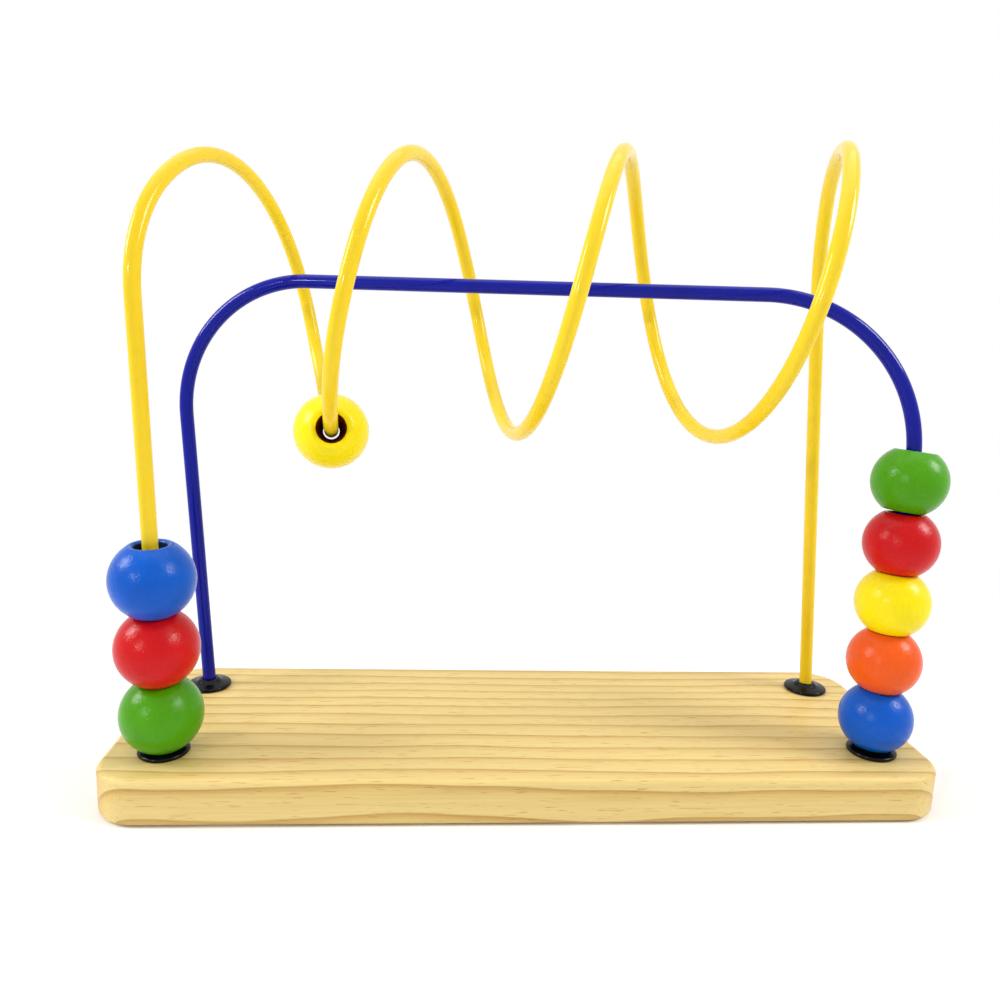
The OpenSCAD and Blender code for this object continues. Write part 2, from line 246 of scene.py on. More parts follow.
def finish(name):
    """A new material with a Principled shader; gives the material, its node tree and that shader."""
    material = bpy.data.materials.new(name)
    material.use_nodes = True
    tree = material.node_tree
    return material, tree, tree.nodes["Principled BSDF"]


print("middle grey in linear values:", round(shade(128, 128, 128)[0], 3))

# %% Map a value to a colour or a range


def ramp(tree, value, *stops):
    """A colour ramp through (position, colour) stops."""
    node = put(tree, "ShaderNodeValToRGB", Fac=value)
    line = node.color_ramp.elements
    while len(line) < len(stops):
        line.new(0.5)
    for stop, (position, colour) in zip(line, stops):
        stop.position, stop.color = position, colour
    return node.outputs["Color"]


def spread(tree, value, low, high, from_low=0.0, from_high=1.0):
    """Maps a value to a range."""
    node = put(tree, "ShaderNodeMapRange", Value=value)
    node.inputs["From Min"].default_value, node.inputs["From Max"].default_value = from_low, from_high
    node.inputs["To Min"].default_value, node.inputs["To Max"].default_value = low, high
    return node.outputs[0]


print("colour ramp and range ready")

# %% Make streaks and noise


def stretched(tree, place, *scale):
    """Coordinates scaled along each axis, so that a noise becomes streaks."""
    node = put(tree, "ShaderNodeMapping", Vector=place)
    node.inputs["Scale"].default_value = scale
    return node.outputs[0]


def noise(tree, place, scale, detail=2.0, roughness=0.5):
    """A soft noise from 0 to 1."""
    node = put(tree, "ShaderNodeTexNoise", Vector=place, Scale=scale, Detail=detail, Roughness=roughness)
    return node.outputs["Fac"]


print("streaks and noise ready")

# %% Mix colours and raise a bump


def mixed(tree, blend, amount, first, second):
    """Mixes two colours."""
    node = tree.nodes.new("ShaderNodeMix")
    node.data_type, node.blend_type = "RGBA", blend
    for socket, term in ((node.inputs[0], amount), (node.inputs[6], first), (node.inputs[7], second)):
        if isinstance(term, bpy.types.NodeSocket):
            tree.links.new(term, socket)
        else:
            socket.default_value = term
    return node.outputs[2]


def bumped(tree, height, depth, strength, under=None):
    """A bump of a depth in metres, on top of another one if there is one."""
    node = put(tree, "ShaderNodeBump", Height=height, Distance=depth, Strength=strength)
    if under is not None:
        tree.links.new(under, node.inputs["Normal"])
    return node.outputs["Normal"]


print("mix and bump ready")

# %% Cut the year rings
pine, wood, lacquer = finish("lacquered pine")
grain_place = put(wood, "ShaderNodeTexCoord").outputs["Object"]
slow_wave = noise(wood, stretched(wood, grain_place, 7, 22, 22), 1.0, 2.0)
quick_wave = noise(wood, stretched(wood, grain_place, 26, 160, 160), 1.0, 2.0)
axes = put(wood, "ShaderNodeSeparateXYZ", Vector=grain_place)
heart_y, heart_z = -0.125, -0.055
from_heart_y = math_node(wood, "SUBTRACT", axes.outputs["Y"], heart_y)
from_heart_z = math_node(wood, "SUBTRACT", axes.outputs["Z"], heart_z)
reach = math_node(wood, "SQRT", math_node(
    wood, "ADD", math_node(wood, "MULTIPLY", from_heart_y, from_heart_y),
    math_node(wood, "MULTIPLY", from_heart_z, from_heart_z)))
reach = math_node(wood, "ADD", reach, math_node(wood, "MULTIPLY", slow_wave, 0.009))
reach = math_node(wood, "ADD", reach, math_node(wood, "MULTIPLY", quick_wave, 0.0009))
ring_width = 0.0068
rings = math_node(wood, "FRACT", math_node(wood, "DIVIDE", reach, ring_width))
ring_colour = ramp(
    wood, rings,
    (0.0, shade(230, 206, 138)), (0.5, shade(227, 201, 131)), (0.78, shade(217, 185, 111)),
    (0.92, shade(190, 149, 76)), (0.96, shade(178, 133, 62)), (1.0, shade(230, 205, 137)))
print("pine rings every", ring_width * 1000, "mm")

# %% Lay fibres, resin ducts and end grain over the rings
faint = noise(wood, stretched(wood, grain_place, 9, 210, 210), 1.0, 3.0)
board_colour = mixed(wood, "MIX", spread(wood, faint, 0.0, 0.6), ring_colour, shade(228, 202, 132))
fibres = noise(wood, stretched(wood, grain_place, 30, 1500, 1500), 1.0, 3.0, 0.6)
fibre_tint = ramp(wood, fibres, (0.3, shade(246, 242, 234)), (0.62, shade(255, 255, 255)))
board_colour = mixed(wood, "MULTIPLY", 1.0, board_colour, fibre_tint)
ducts = noise(wood, stretched(wood, grain_place, 130, 2600, 2600), 1.0, 1.0)
duct_tint = ramp(wood, ducts, (0.66, (1, 1, 1, 1)), (0.74, shade(216, 190, 152)))
board_colour = mixed(wood, "MULTIPLY", 1.0, board_colour, duct_tint)
facing = put(wood, "ShaderNodeSeparateXYZ", Vector=put(wood, "ShaderNodeNewGeometry").outputs["Normal"])
end_grain = spread(wood, math_node(wood, "ABSOLUTE", facing.outputs["X"]), 0.0, 0.45, 0.55, 0.95)
board_colour = mixed(wood, "MULTIPLY", end_grain, board_colour, shade(214, 178, 128))
wood.links.new(board_colour, lacquer.inputs["Base Color"])
print("pine nodes:", len(wood.nodes))

# %% Lacquer the board
wood.links.new(spread(wood, rings, 0.42, 0.34), lacquer.inputs["Roughness"])
grain_bump = bumped(wood, fibres, 0.00006, 0.35)
grain_bump = bumped(wood, rings, 0.00005, 0.25, grain_bump)
wood.links.new(grain_bump, lacquer.inputs["Normal"])
lacquer.inputs["Specular IOR Level"].default_value = 0.2
lacquer.inputs["Coat Weight"].default_value = 0.04
lacquer.inputs["Coat Roughness"].default_value = 0.3
frame["nodes"]["base_board"].data.materials.clear()
frame["nodes"]["base_board"].data.materials.append(pine)
print("board finish:", pine.name)

# %% [markdown]
# ## Finish: coated wire
# Both wires are steel with a thick, smooth, glossy coat. Such a coat has a faint orange peel that only
# shows where a lamp is mirrored in it, and the tone drifts a little along the wire. One function makes
# both colours.

# %% Make the two coats


def coat_finish(name, colour, deep, gloss):
    """A glossy coat with a tone that drifts along the wire and a faint orange peel."""
    material, tree, shader = finish(name)
    place = put(tree, "ShaderNodeTexCoord").outputs["Object"]
    drift = noise(tree, place, 16.0, 2.0)
    specks = noise(tree, place, 240.0, 2.0)
    tone = mixed(tree, "MIX", spread(tree, drift, 0.0, 0.6, 0.3, 0.7), colour, deep)
    speck_tint = ramp(tree, specks, (0.25, shade(250, 250, 250)), (0.5, (1, 1, 1, 1)))
    tone = mixed(tree, "MULTIPLY", 1.0, tone, speck_tint)
    tree.links.new(tone, shader.inputs["Base Color"])
    tree.links.new(spread(tree, drift, 0.10, 0.16), shader.inputs["Roughness"])
    peel = noise(tree, place, 300.0, 1.0)
    tree.links.new(bumped(tree, peel, 0.00002, 0.08), shader.inputs["Normal"])
    shader.inputs["Specular IOR Level"].default_value = gloss
    return material


yellow_coat = coat_finish("yellow coat", shade(240, 208, 38), shade(233, 196, 22), 0.25)
blue_coat = coat_finish("blue coat", shade(5, 18, 150), shade(3, 11, 128), 0.2)
print("coats:", yellow_coat.name, "and", blue_coat.name)

# %% [markdown]
# ## Piece: the coiled wire's path
# The yellow wire starts at the front left foot, rises in a straight leg, winds round and ends at the
# back right foot. It could be drawn by hand as a Bezier curve, but its shape follows a rule: a helix
# whose axis slants to the front and rises a little, with straight legs that touch its circle. So the
# path is worked out as points, close together, and the same sizes as in the solid keep it in place.

# %% Find the feet
board_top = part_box("base_board")[1].z


def foot_of(corner):
    """Middle of the grommet at a corner of the board."""
    low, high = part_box(corner + "_grommet")
    return Vector(((low.x + high.x) / 2, (low.y + high.y) / 2, 0))


feet = {corner: foot_of(corner) for corner in ("front_left", "front_right", "back_left", "back_right")}
foot_x, foot_y = feet["back_right"].x, feet["back_right"].y
print("feet at x", round(foot_x, 4), "and y", round(foot_y, 4))

# %% Settle the coil and its legs
knee_height = board_top + 0.0049
shoulder_height = 0.0085
coil_radius, coil_pitch, coil_middle = 0.046, 0.0674, -0.008
coil_skew, coil_ease, coil_last = 0.0038, math.radians(50), math.radians(1080)
trough_push, push_reach = 0.0029, math.radians(80)
coil_left = Vector((0, 0.011, board_top + 0.152))
coil_right = Vector((0, -0.0225, board_top + 0.159))


def leg_shape(out, rise):
    """Length of the straight leg from a foot to the coil's circle, and its lean."""
    return math.sqrt(out * out + rise * rise - coil_radius ** 2), \
        math.asin(coil_radius / math.hypot(out, rise)) - math.atan2(out, rise)


left_reach, left_lean = leg_shape(coil_left.y + foot_y, coil_left.z - knee_height)
right_reach, right_lean = leg_shape(foot_y - coil_right.y, coil_right.z - knee_height)
coil_start = -math.pi / 2 - left_lean
coil_end = coil_last + math.pi / 2 + right_lean
ease_in, ease_out = coil_start + coil_ease, coil_end - coil_ease
print("coil turns", round((coil_end - coil_start) / math.tau, 2))
print("leg lengths", round(left_reach, 4), round(right_reach, 4))

# %% Follow the helix along the board


def helix_x(turn):
    """Place along X on the helix, whose first trough is pushed to the right."""
    from_trough = min(abs(turn - math.pi), push_reach)
    push = trough_push * math.cos(math.pi / 2 * from_trough / push_reach) ** 2
    return coil_middle + coil_pitch * (turn - coil_last / 2) / math.tau + coil_skew * math.sin(turn) + push


def helix_slope(turn):
    """Advance along X for each radian."""
    return coil_pitch / math.tau + coil_skew * math.cos(turn)


left_slope = (helix_x(ease_in) - helix_slope(ease_in) * coil_ease / 2 + foot_x) \
    / (coil_ease / 2 + left_reach / coil_radius)
right_slope = (foot_x - helix_x(ease_out) - helix_slope(ease_out) * coil_ease / 2) \
    / (coil_ease / 2 + right_reach / coil_radius)
print("advance for each radian: left leg", round(left_slope, 4), "right leg", round(right_slope, 4))

# %% Ease the helix into its legs


def coil_point(turn):
    """A point of the coil, which eases into its legs at both ends."""
    x = helix_x(turn)
    if turn < ease_in:
        left = ease_in - turn
        slope = helix_slope(ease_in)
        x = helix_x(ease_in) - slope * left + (slope - left_slope) * left * left / (2 * coil_ease)
    elif turn > ease_out:
        past = turn - ease_out
        slope = helix_slope(ease_out)
        x = helix_x(ease_out) + slope * past - (slope - right_slope) * past * past / (2 * coil_ease)
    middle = coil_left.lerp(coil_right, (turn - coil_start) / (coil_end - coil_start))
    return Vector((x, middle.y + coil_radius * math.sin(turn), middle.z + coil_radius * math.cos(turn)))


print("coil from", [round(v, 4) for v in coil_point(coil_start)])
print("coil to", [round(v, 4) for v in coil_point(coil_end)])

# %% Draw knees and straight stretches
knee_reach = 0.0012


def at_height(point, height):
    """The same place in plan at another height."""
    return Vector((point.x, point.y, height))


def knee(foot, leg_end):
    """The upright stub at a foot and the soft knee where the leg starts to lean."""
    corner = at_height(foot, knee_height)
    lean = (leg_end - corner).normalized()
    drop = Vector((0, 0, knee_reach))
    stub = [at_height(foot, shoulder_height), at_height(foot, board_top), corner - drop]
    bend = [corner + lean * knee_reach * t * t - drop * (1 - t) ** 2 for t in (0.25, 0.5, 0.75)]
    return stub + bend + [corner + lean * knee_reach]


def straight(start, end, step=0.004):
    """Points along a straight stretch, without its ends."""
    count = max(2, round((end - start).length / step))
    return [start.lerp(end, i / count) for i in range(1, count)]


def path_length(points):
    """Length of a path through points."""
    return sum((b - a).length for a, b in zip(points, points[1:]))


print("knees at height", round(knee_height, 4))

# %% Join coil, legs and feet
coil_steps = 840
winding = [coil_point(coil_start + (coil_end - coil_start) * i / coil_steps) for i in range(coil_steps + 1)]
left_foot = knee(feet["front_left"], winding[0])
right_foot = knee(feet["back_right"], winding[-1])
yellow_path = left_foot + straight(left_foot[-1], winding[0]) + winding \
    + straight(winding[-1], right_foot[-1]) + right_foot[::-1]
print("yellow wire:", len(yellow_path), "points,", round(path_length(yellow_path), 3), "m long")

# %% [markdown]
# ## Piece: the arch's path
# The blue wire goes up from the back left foot, bends, runs across as the bar inside the coil and comes
# down to the front right foot. Each bend is a round fillet between two straight stretches, so it is
# worked out as an arc that touches both. The top right bead rides round the right bend, so the middle
# of that bend is the point that the bead's joint turns about, and gives the bend's radius.

# %% Round a corner


def fillet(before, corner, after, radius, steps=48):
    """Points of an arc that touches both stretches at a corner."""
    back, on = (before - corner).normalized(), (after - corner).normalized()
    half = math.acos(back.dot(on)) / 2
    middle = corner + (back + on).normalized() * radius / math.sin(half)
    first = corner + back * radius / math.tan(half) - middle
    turn = math.pi - 2 * half
    return [middle + first * math.cos(turn * i / steps) - back * radius * math.sin(turn * i / steps)
            for i in range(steps + 1)]


print("fillet ready")

# %% Work out the arch
bar_height = board_top + 0.160
left_corner = Vector((-0.1335, 0.031, bar_height))
right_corner = Vector((0.1315, -0.020, bar_height))
bar_line = (right_corner - left_corner).normalized()
bend_middle = Vector(joints["right_green_ride"]["pos_m"])
left_bend_radius = 0.048
right_bend_radius = (bend_middle - right_corner).cross(bar_line).length
left_bend = fillet(at_height(feet["back_left"], knee_height), left_corner, right_corner, left_bend_radius)
right_knee = at_height(feet["front_right"], knee_height)
right_bend = fillet(left_corner, right_corner, right_knee, right_bend_radius)
back_foot = knee(feet["back_left"], left_bend[0])
front_foot = knee(feet["front_right"], right_bend[-1])
blue_path = back_foot + straight(back_foot[-1], left_bend[0]) + left_bend \
    + straight(left_bend[-1], right_bend[0]) + right_bend \
    + straight(right_bend[-1], front_foot[-1]) + front_foot[::-1]
print("right bend's radius", round(right_bend_radius, 5))
print("blue wire:", len(blue_path), "points,", round(path_length(blue_path), 3), "m long")

# %% [markdown]
# ## Tool: sweep a wire
# A small tree of geometry nodes sweeps a circle along a path. It has named inputs for the wire's
# diameter, the number of sides and the coat, so the same tree serves both wires. The result is turned
# into a plain mesh, because the finished model holds meshes only.

# %% Start a tree


def new_tree(name, **inputs):
    """A geometry node tree with named inputs; gives the tree, its input node and the inputs' identifiers."""
    tree = bpy.data.node_groups.new(name, "GeometryNodeTree")
    tree.interface.new_socket("Geometry", in_out="INPUT", socket_type="NodeSocketGeometry")
    keys = {}
    for key, kind in inputs.items():
        words = key.replace("_", " ").capitalize()
        socket = tree.interface.new_socket(words, in_out="INPUT", socket_type="NodeSocket" + kind)
        keys[key] = socket.identifier
    tree.interface.new_socket("Geometry", in_out="OUTPUT", socket_type="NodeSocketGeometry")
    return tree, tree.nodes.new("NodeGroupInput"), keys


print("tree helper ready")

# %% Build the sweeping tree


def end_tree(tree, geometry, finish_socket):
    """Ends a tree: smooth faces, no instances left, and a finish all over."""
    smooth = put(tree, "GeometryNodeSetShadeSmooth", Geometry=geometry)
    real = put(tree, "GeometryNodeRealizeInstances", Geometry=smooth.outputs[0])
    painted = put(tree, "GeometryNodeSetMaterial", Geometry=real.outputs[0], Material=finish_socket)
    tree.links.new(painted.outputs[0], tree.nodes.new("NodeGroupOutput").inputs[0])


sweep_tree, sweep_in, sweep_keys = new_tree(
    "sweep a wire", wire_diameter="Float", sides="Int", coat="Material")
wire_radius = math_node(sweep_tree, "MULTIPLY", sweep_in.outputs["Wire diameter"], 0.5)
wire_section = put(sweep_tree, "GeometryNodeCurvePrimitiveCircle",
                   Resolution=sweep_in.outputs["Sides"], Radius=wire_radius)
swept = put(sweep_tree, "GeometryNodeCurveToMesh", Curve=sweep_in.outputs["Geometry"],
            Profile_Curve=wire_section.outputs[0], Fill_Caps=True)
end_tree(sweep_tree, swept.outputs[0], sweep_in.outputs["Coat"])
print("tree:", sweep_tree.name, "inputs", list(sweep_keys))

# %% Draw a path


def path_object(name, points, closed=False):
    """A curve object through points."""
    curve = bpy.data.curves.new(name, "CURVE")
    curve.dimensions = "3D"
    line = curve.splines.new("POLY")
    line.points.add(len(points) - 1)
    for dot, point in zip(line.points, points):
        dot.co = (*point, 1)
    line.use_cyclic_u = closed
    thing = bpy.data.objects.new(name, curve)
    scene.collection.objects.link(thing)
    return thing


print("path helper ready")

# %% Keep a tree's result as a plain mesh


def outward(mesh):
    """Merges doubles and points every face outwards."""
    form = bmesh.new()
    form.from_mesh(mesh)
    bmesh.ops.remove_doubles(form, verts=form.verts, dist=1e-7)
    bmesh.ops.recalc_face_normals(form, faces=form.faces)
    form.to_mesh(mesh)
    form.free()


def made_by(name, source, tree, keys, **settings):
    """Runs a tree on an object and keeps the result as a plain mesh object at the origin."""
    modifier = source.modifiers.new("nodes", "NODES")
    modifier.node_group = tree
    for key, value in settings.items():
        modifier[keys[key]] = value
    bpy.context.view_layer.update()
    result = source.evaluated_get(bpy.context.evaluated_depsgraph_get())
    mesh = bpy.data.meshes.new_from_object(result)
    mesh.name = name
    bpy.data.objects.remove(source)
    outward(mesh)
    piece = bpy.data.objects.new(name, mesh)
    scene.collection.objects.link(piece)
    return piece


print("mesh helper ready")

# %% Sweep both wires
wire_diameter = 0.005
wires = {}
for name, path, coat, slot in (("yellow_coil_wire", yellow_path, yellow_coat, "yellow_coat"),
                               ("blue_arch_wire", blue_path, blue_coat, "blue_coat")):
    wires[name] = made_by(name, path_object(name + "_path", path), sweep_tree, sweep_keys,
                          wire_diameter=wire_diameter, sides=28, coat=coat)
    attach(wires[name], "stand")
    print(name, len(wires[name].data.polygons), "faces")
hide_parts("yellow_wire")
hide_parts("blue_wire")

# %% [markdown]
# ## Finish: painted beads
# The beads are turned from wood and sprayed. The paint is thick enough to gloss, but the wood's grain
# still shows through it as fine streaks from hole to hole, and the soft highlights break up on its fine
# dimples. The streaks follow each bead's own axis, so the finish reads an attribute that the bead
# carries, its place before it was set on the wire. Inside the hole the coat is dull, and painted shade
# makes it dark: its colour is a dark copy of the paint.

# %% Make the paints


def paint_finish(name, colour, deep):
    """Semi-gloss paint on wood, with grain streaks along the bead's own axis and fine dimples."""
    material, tree, shader = finish(name)
    place = put(tree, "ShaderNodeAttribute", attribute_name="turned_place").outputs["Vector"]
    streaks = noise(tree, stretched(tree, place, 1500, 1500, 90), 1.0, 3.0, 0.6)
    cloud = noise(tree, place, 90.0, 2.0)
    dimples = noise(tree, place, 1200.0, 2.0, 0.6)
    tone = mixed(tree, "MIX", spread(tree, cloud, 0.0, 0.6, 0.3, 0.7), colour, deep)
    streak_tint = ramp(tree, streaks, (0.30, shade(247, 247, 247)), (0.55, (1, 1, 1, 1)))
    tone = mixed(tree, "MULTIPLY", 1.0, tone, streak_tint)
    tree.links.new(tone, shader.inputs["Base Color"])
    tree.links.new(spread(tree, dimples, 0.14, 0.28), shader.inputs["Roughness"])
    relief = bumped(tree, dimples, 0.0003, 0.42)
    relief = bumped(tree, streaks, 0.00006, 0.15, relief)
    tree.links.new(relief, shader.inputs["Normal"])
    shader.inputs["Specular IOR Level"].default_value = 0.2
    return material


paints = {
    "green": paint_finish("green paint", shade(76, 154, 0), shade(66, 140, 0)),
    "red": paint_finish("red paint", shade(204, 12, 18), shade(188, 6, 12)),
    "blue": paint_finish("blue paint", shade(0, 88, 194), shade(0, 76, 176)),
    "lemon": paint_finish("lemon paint", shade(246, 226, 12), shade(240, 217, 4)),
    "orange": paint_finish("orange paint", shade(236, 92, 22), shade(228, 82, 16)),
}


print("paints:", list(paints))

# %% Paint shade into the holes


def hole_shade_finish(name, dark, light):
    """Painted shade inside a hole: a dull, dark copy of the paint, with streaks along it."""
    material, tree, shader = finish(name)
    place = put(tree, "ShaderNodeAttribute", attribute_name="turned_place").outputs["Vector"]
    streaks = noise(tree, stretched(tree, place, 900, 900, 120), 1.0, 3.0)
    tree.links.new(ramp(tree, streaks, (0.3, dark), (0.7, light)), shader.inputs["Base Color"])
    tree.links.new(spread(tree, streaks, 0.55, 0.7), shader.inputs["Roughness"])
    tree.links.new(bumped(tree, streaks, 0.0001, 0.3), shader.inputs["Normal"])
    shader.inputs["Specular IOR Level"].default_value = 0.12
    return material


# Each hole's colour is painted shade, a dark copy of its bead's paint; the lemon bead's is dark maroon.
shades = {
    "green": hole_shade_finish("green hole painted shade", shade(14, 38, 4), shade(26, 58, 8)),
    "red": hole_shade_finish("red hole painted shade", shade(58, 4, 6), shade(84, 10, 12)),
    "blue": hole_shade_finish("blue hole painted shade", shade(4, 20, 62), shade(8, 34, 90)),
    "lemon": hole_shade_finish("lemon hole painted shade", shade(72, 16, 8), shade(108, 34, 14)),
    "orange": hole_shade_finish("orange hole painted shade", shade(70, 18, 6), shade(100, 32, 12)),
}
print("hole stains:", list(shades))

# %% [markdown]
# ## Tool: turn a piece
# Beads and grommets are turned forms: a section is swept round an axis. A second tree does this with a
# circle as the path. It keeps each point's place before the turn and the move, for the paint's grain,
# and then sets the piece where it belongs. Faces nearer to the axis than the hole's reach get a finish
# of their own.

# %% Build the turning tree
turn_tree, turn_in, turn_keys = new_tree(
    "turn a piece", around="Int", path_radius="Float", hole_reach="Float",
    place="Vector", turn="Rotation", outside="Material", hole="Material")
turn_path = put(turn_tree, "GeometryNodeCurvePrimitiveCircle", Resolution=turn_in.outputs["Around"],
                Radius=turn_in.outputs["Path radius"])
turned = put(turn_tree, "GeometryNodeCurveToMesh", Curve=turn_path.outputs[0],
             Profile_Curve=turn_in.outputs["Geometry"])
spot_now = put(turn_tree, "GeometryNodeInputPosition").outputs[0]
print("tree:", turn_tree.name, "inputs", list(turn_keys))

# %% Keep each point's place and find the hole
kept = put(turn_tree, "GeometryNodeStoreNamedAttribute", data_type="FLOAT_VECTOR", domain="POINT",
           Geometry=turned.outputs[0], Name="turned_place", Value=spot_now)
spot_axes = put(turn_tree, "ShaderNodeSeparateXYZ", Vector=spot_now)
from_axis = math_node(turn_tree, "SQRT", math_node(
    turn_tree, "ADD", math_node(turn_tree, "MULTIPLY", spot_axes.outputs["X"], spot_axes.outputs["X"]),
    math_node(turn_tree, "MULTIPLY", spot_axes.outputs["Y"], spot_axes.outputs["Y"])))
in_hole = put(turn_tree, "FunctionNodeCompare", data_type="FLOAT", operation="LESS_THAN")
turn_tree.links.new(from_axis, in_hole.inputs[0])
turn_tree.links.new(turn_in.outputs["Hole reach"], in_hole.inputs[1])
print("kept attribute: turned_place")

# %% Paint the piece and set it in place
coated = put(turn_tree, "GeometryNodeSetMaterial",
             Geometry=kept.outputs[0], Material=turn_in.outputs["Outside"])
bored = put(turn_tree, "GeometryNodeSetMaterial", Geometry=coated.outputs[0], Selection=in_hole.outputs[0],
            Material=turn_in.outputs["Hole"])
moved = put(turn_tree, "GeometryNodeTransform",
            Geometry=bored.outputs[0], Translation=turn_in.outputs["Place"],
            Rotation=turn_in.outputs["Turn"])
turn_smooth = put(turn_tree, "GeometryNodeSetShadeSmooth", Geometry=moved.outputs[0])
turn_real = put(turn_tree, "GeometryNodeRealizeInstances", Geometry=turn_smooth.outputs[0])
turn_tree.links.new(turn_real.outputs[0], turn_tree.nodes.new("NodeGroupOutput").inputs[0])
print("turning nodes:", len(turn_tree.nodes))

# %% [markdown]
# ## Piece: the beads
# A bead is a ball with both ends cut flat and a wide hole that narrows from its rounded rims to a
# waist. Its section is an arc for the ball, two small arcs for the rims and two straight lines for the
# hole. The stacks' beads differ a little in size, so a function draws the section for a diameter. The
# bead in the coil is seen end on, so its waist is a little tighter than in the solid, which hides most
# of the daylight behind it. Each bead's middle comes from its solid, and its direction from the joint
# that moves it, so nothing has to be placed by eye.

# %% Draw the bead's section
end_radius, hole_radius, waist_radius, rim_radius = 0.0068, 0.005, 0.0031, 0.0013
section_shift = 0.009


def arc(middle, radius, start, end, steps):
    """Points of an arc in a section, as (distance from axis, height)."""
    return [(middle[0] + radius * math.cos(start + (end - start) * i / steps),
             middle[1] + radius * math.sin(start + (end - start) * i / steps)) for i in range(steps + 1)]


def bead_section(diameter, waist):
    """The closed outline of half a bead: ball, upper rim, hole with its waist, lower rim."""
    radius = diameter / 2
    half_length = math.sqrt(radius ** 2 - end_radius ** 2)
    edge_turn = math.asin(half_length / radius)
    rim_distance, rim_height = hole_radius + rim_radius, half_length - rim_radius
    down = [1 - i / 6 for i in range(1, 12)]
    hole = [(waist + (hole_radius - waist) * abs(part), rim_height * part) for part in down]
    return arc((0, 0), radius, -edge_turn, edge_turn, 40) \
        + arc((rim_distance, rim_height), rim_radius, math.pi / 2, math.pi, 8) + hole \
        + arc((rim_distance, -rim_height), rim_radius, math.pi, 1.5 * math.pi, 8)


print("bead section:", len(bead_section(0.026, waist_radius)), "points")

# %% Find each bead's line


def section_object(name, section):
    """A closed curve of a section, moved in by the turning path's radius."""
    points = [Vector((distance - section_shift, -height, 0)) for distance, height in section]
    return path_object(name, points, True)


def middle_of(node):
    """Middle of a solid's box."""
    low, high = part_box(node)
    return (low + high) / 2


def tipped(line, joint, degrees):
    """A direction turned about a joint's axis."""
    return Quaternion(Vector(joint["axis"]), math.radians(degrees)) @ line


top_tip, trough_tip = -4, -3
leg_line = Vector(joints["left_green_slide"]["axis"])
stack_line = Vector(joints["right_red_spin"]["axis"])
top_line = tipped(stack_line, joints["right_green_ride"], top_tip)
coil_ride = joints["coil_yellow_ride"]
trough_line = Vector(coil_ride["axis"]).cross(middle_of("coil_bead_yellow") - Vector(coil_ride["pos_m"]))
trough_line = tipped(trough_line, coil_ride, trough_tip)
print("leg", [round(v, 3) for v in leg_line], "stack", [round(v, 3) for v in stack_line])

# %% Turn the nine beads
left_size, coil_size, right_size = 0.027, 0.026, 0.025
# Each row holds a bead's solid, body, line, diameter, paint, and the turn of its grain in degrees
beads = (
    ("left_bead_green", "left_green", leg_line, left_size, "green", 20),
    ("left_bead_red", "left_red", leg_line, left_size, "red", 75),
    ("left_bead_blue", "left_blue", leg_line, left_size, "blue", 140),
    ("coil_bead_yellow", "coil_yellow", trough_line, coil_size, "lemon", 35),
    ("right_bead_blue", "right_blue", stack_line, right_size, "blue", 10),
    ("right_bead_orange", "right_orange", stack_line, right_size, "orange", 95),
    ("right_bead_yellow", "right_yellow", stack_line, right_size, "lemon", 160),
    ("right_bead_red", "right_red", stack_line, right_size, "red", 210),
    ("right_bead_green", "right_green", top_line, right_size, "green", 300),
)
snug_waists = {"coil_bead_yellow": 0.00283}
hole_margin = 0.0002
for node, body, line, size, colour, twist in beads:
    set_turn = line.to_track_quat("Z", "Y") @ Quaternion((0, 0, 1), math.radians(twist))
    outline = section_object(node + "_section", bead_section(size, snug_waists.get(node, waist_radius)))
    bead = made_by(node + "_painted", outline, turn_tree, turn_keys,
                   around=96, path_radius=section_shift, hole_reach=hole_radius + hole_margin,
                   place=middle_of(node), turn=set_turn.to_euler(),
                   outside=paints[colour], hole=shades[colour])
    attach(bead, body)
    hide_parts(node)
print("beads:", len(beads), "faces each", len(bead.data.polygons))

# %% [markdown]
# ## Finish and piece: the grommets
# Where a wire enters the board, a black moulded bush hides the edge of the hole: a thick domed flange
# with a round edge that rises softly to a short hub round the wire. All four are alike, so one section
# serves, and the turning tree sets it down on each foot.

# %% Make the black plastic
black_plastic, black_tree, black_shader = finish("black bush plastic")
mould_place = put(black_tree, "ShaderNodeTexCoord").outputs["Object"]
mould_grain = noise(black_tree, mould_place, 1800.0, 2.0)
black_tree.links.new(ramp(black_tree, noise(black_tree, mould_place, 220.0, 3.0), (0.3, shade(5, 5, 6)),
                          (0.7, shade(10, 10, 11))), black_shader.inputs["Base Color"])
black_tree.links.new(spread(black_tree, mould_grain, 0.16, 0.26), black_shader.inputs["Roughness"])
black_tree.links.new(bumped(black_tree, mould_grain, 0.00004, 0.15), black_shader.inputs["Normal"])
black_shader.inputs["Specular IOR Level"].default_value = 0.15
print("finish:", black_plastic.name)

# %% Draw the grommet's section
flange_radius, dome_height, edge_height, hub_height = 0.0085, 0.0026, 0.0016, 0.0034
bush_hole, neck_radius, neck_foot = 0.0027, 0.004, shoulder_height - board_top
dome_reach, dome_drop = flange_radius - edge_height / 2, dome_height - edge_height
dome_radius = (dome_reach ** 2 + dome_drop ** 2) / (2 * dome_drop)


def dome_at(distance):
    """A point of the flange's dome at a distance from the wire."""
    return distance, dome_height - dome_radius + math.sqrt(dome_radius ** 2 - distance ** 2)


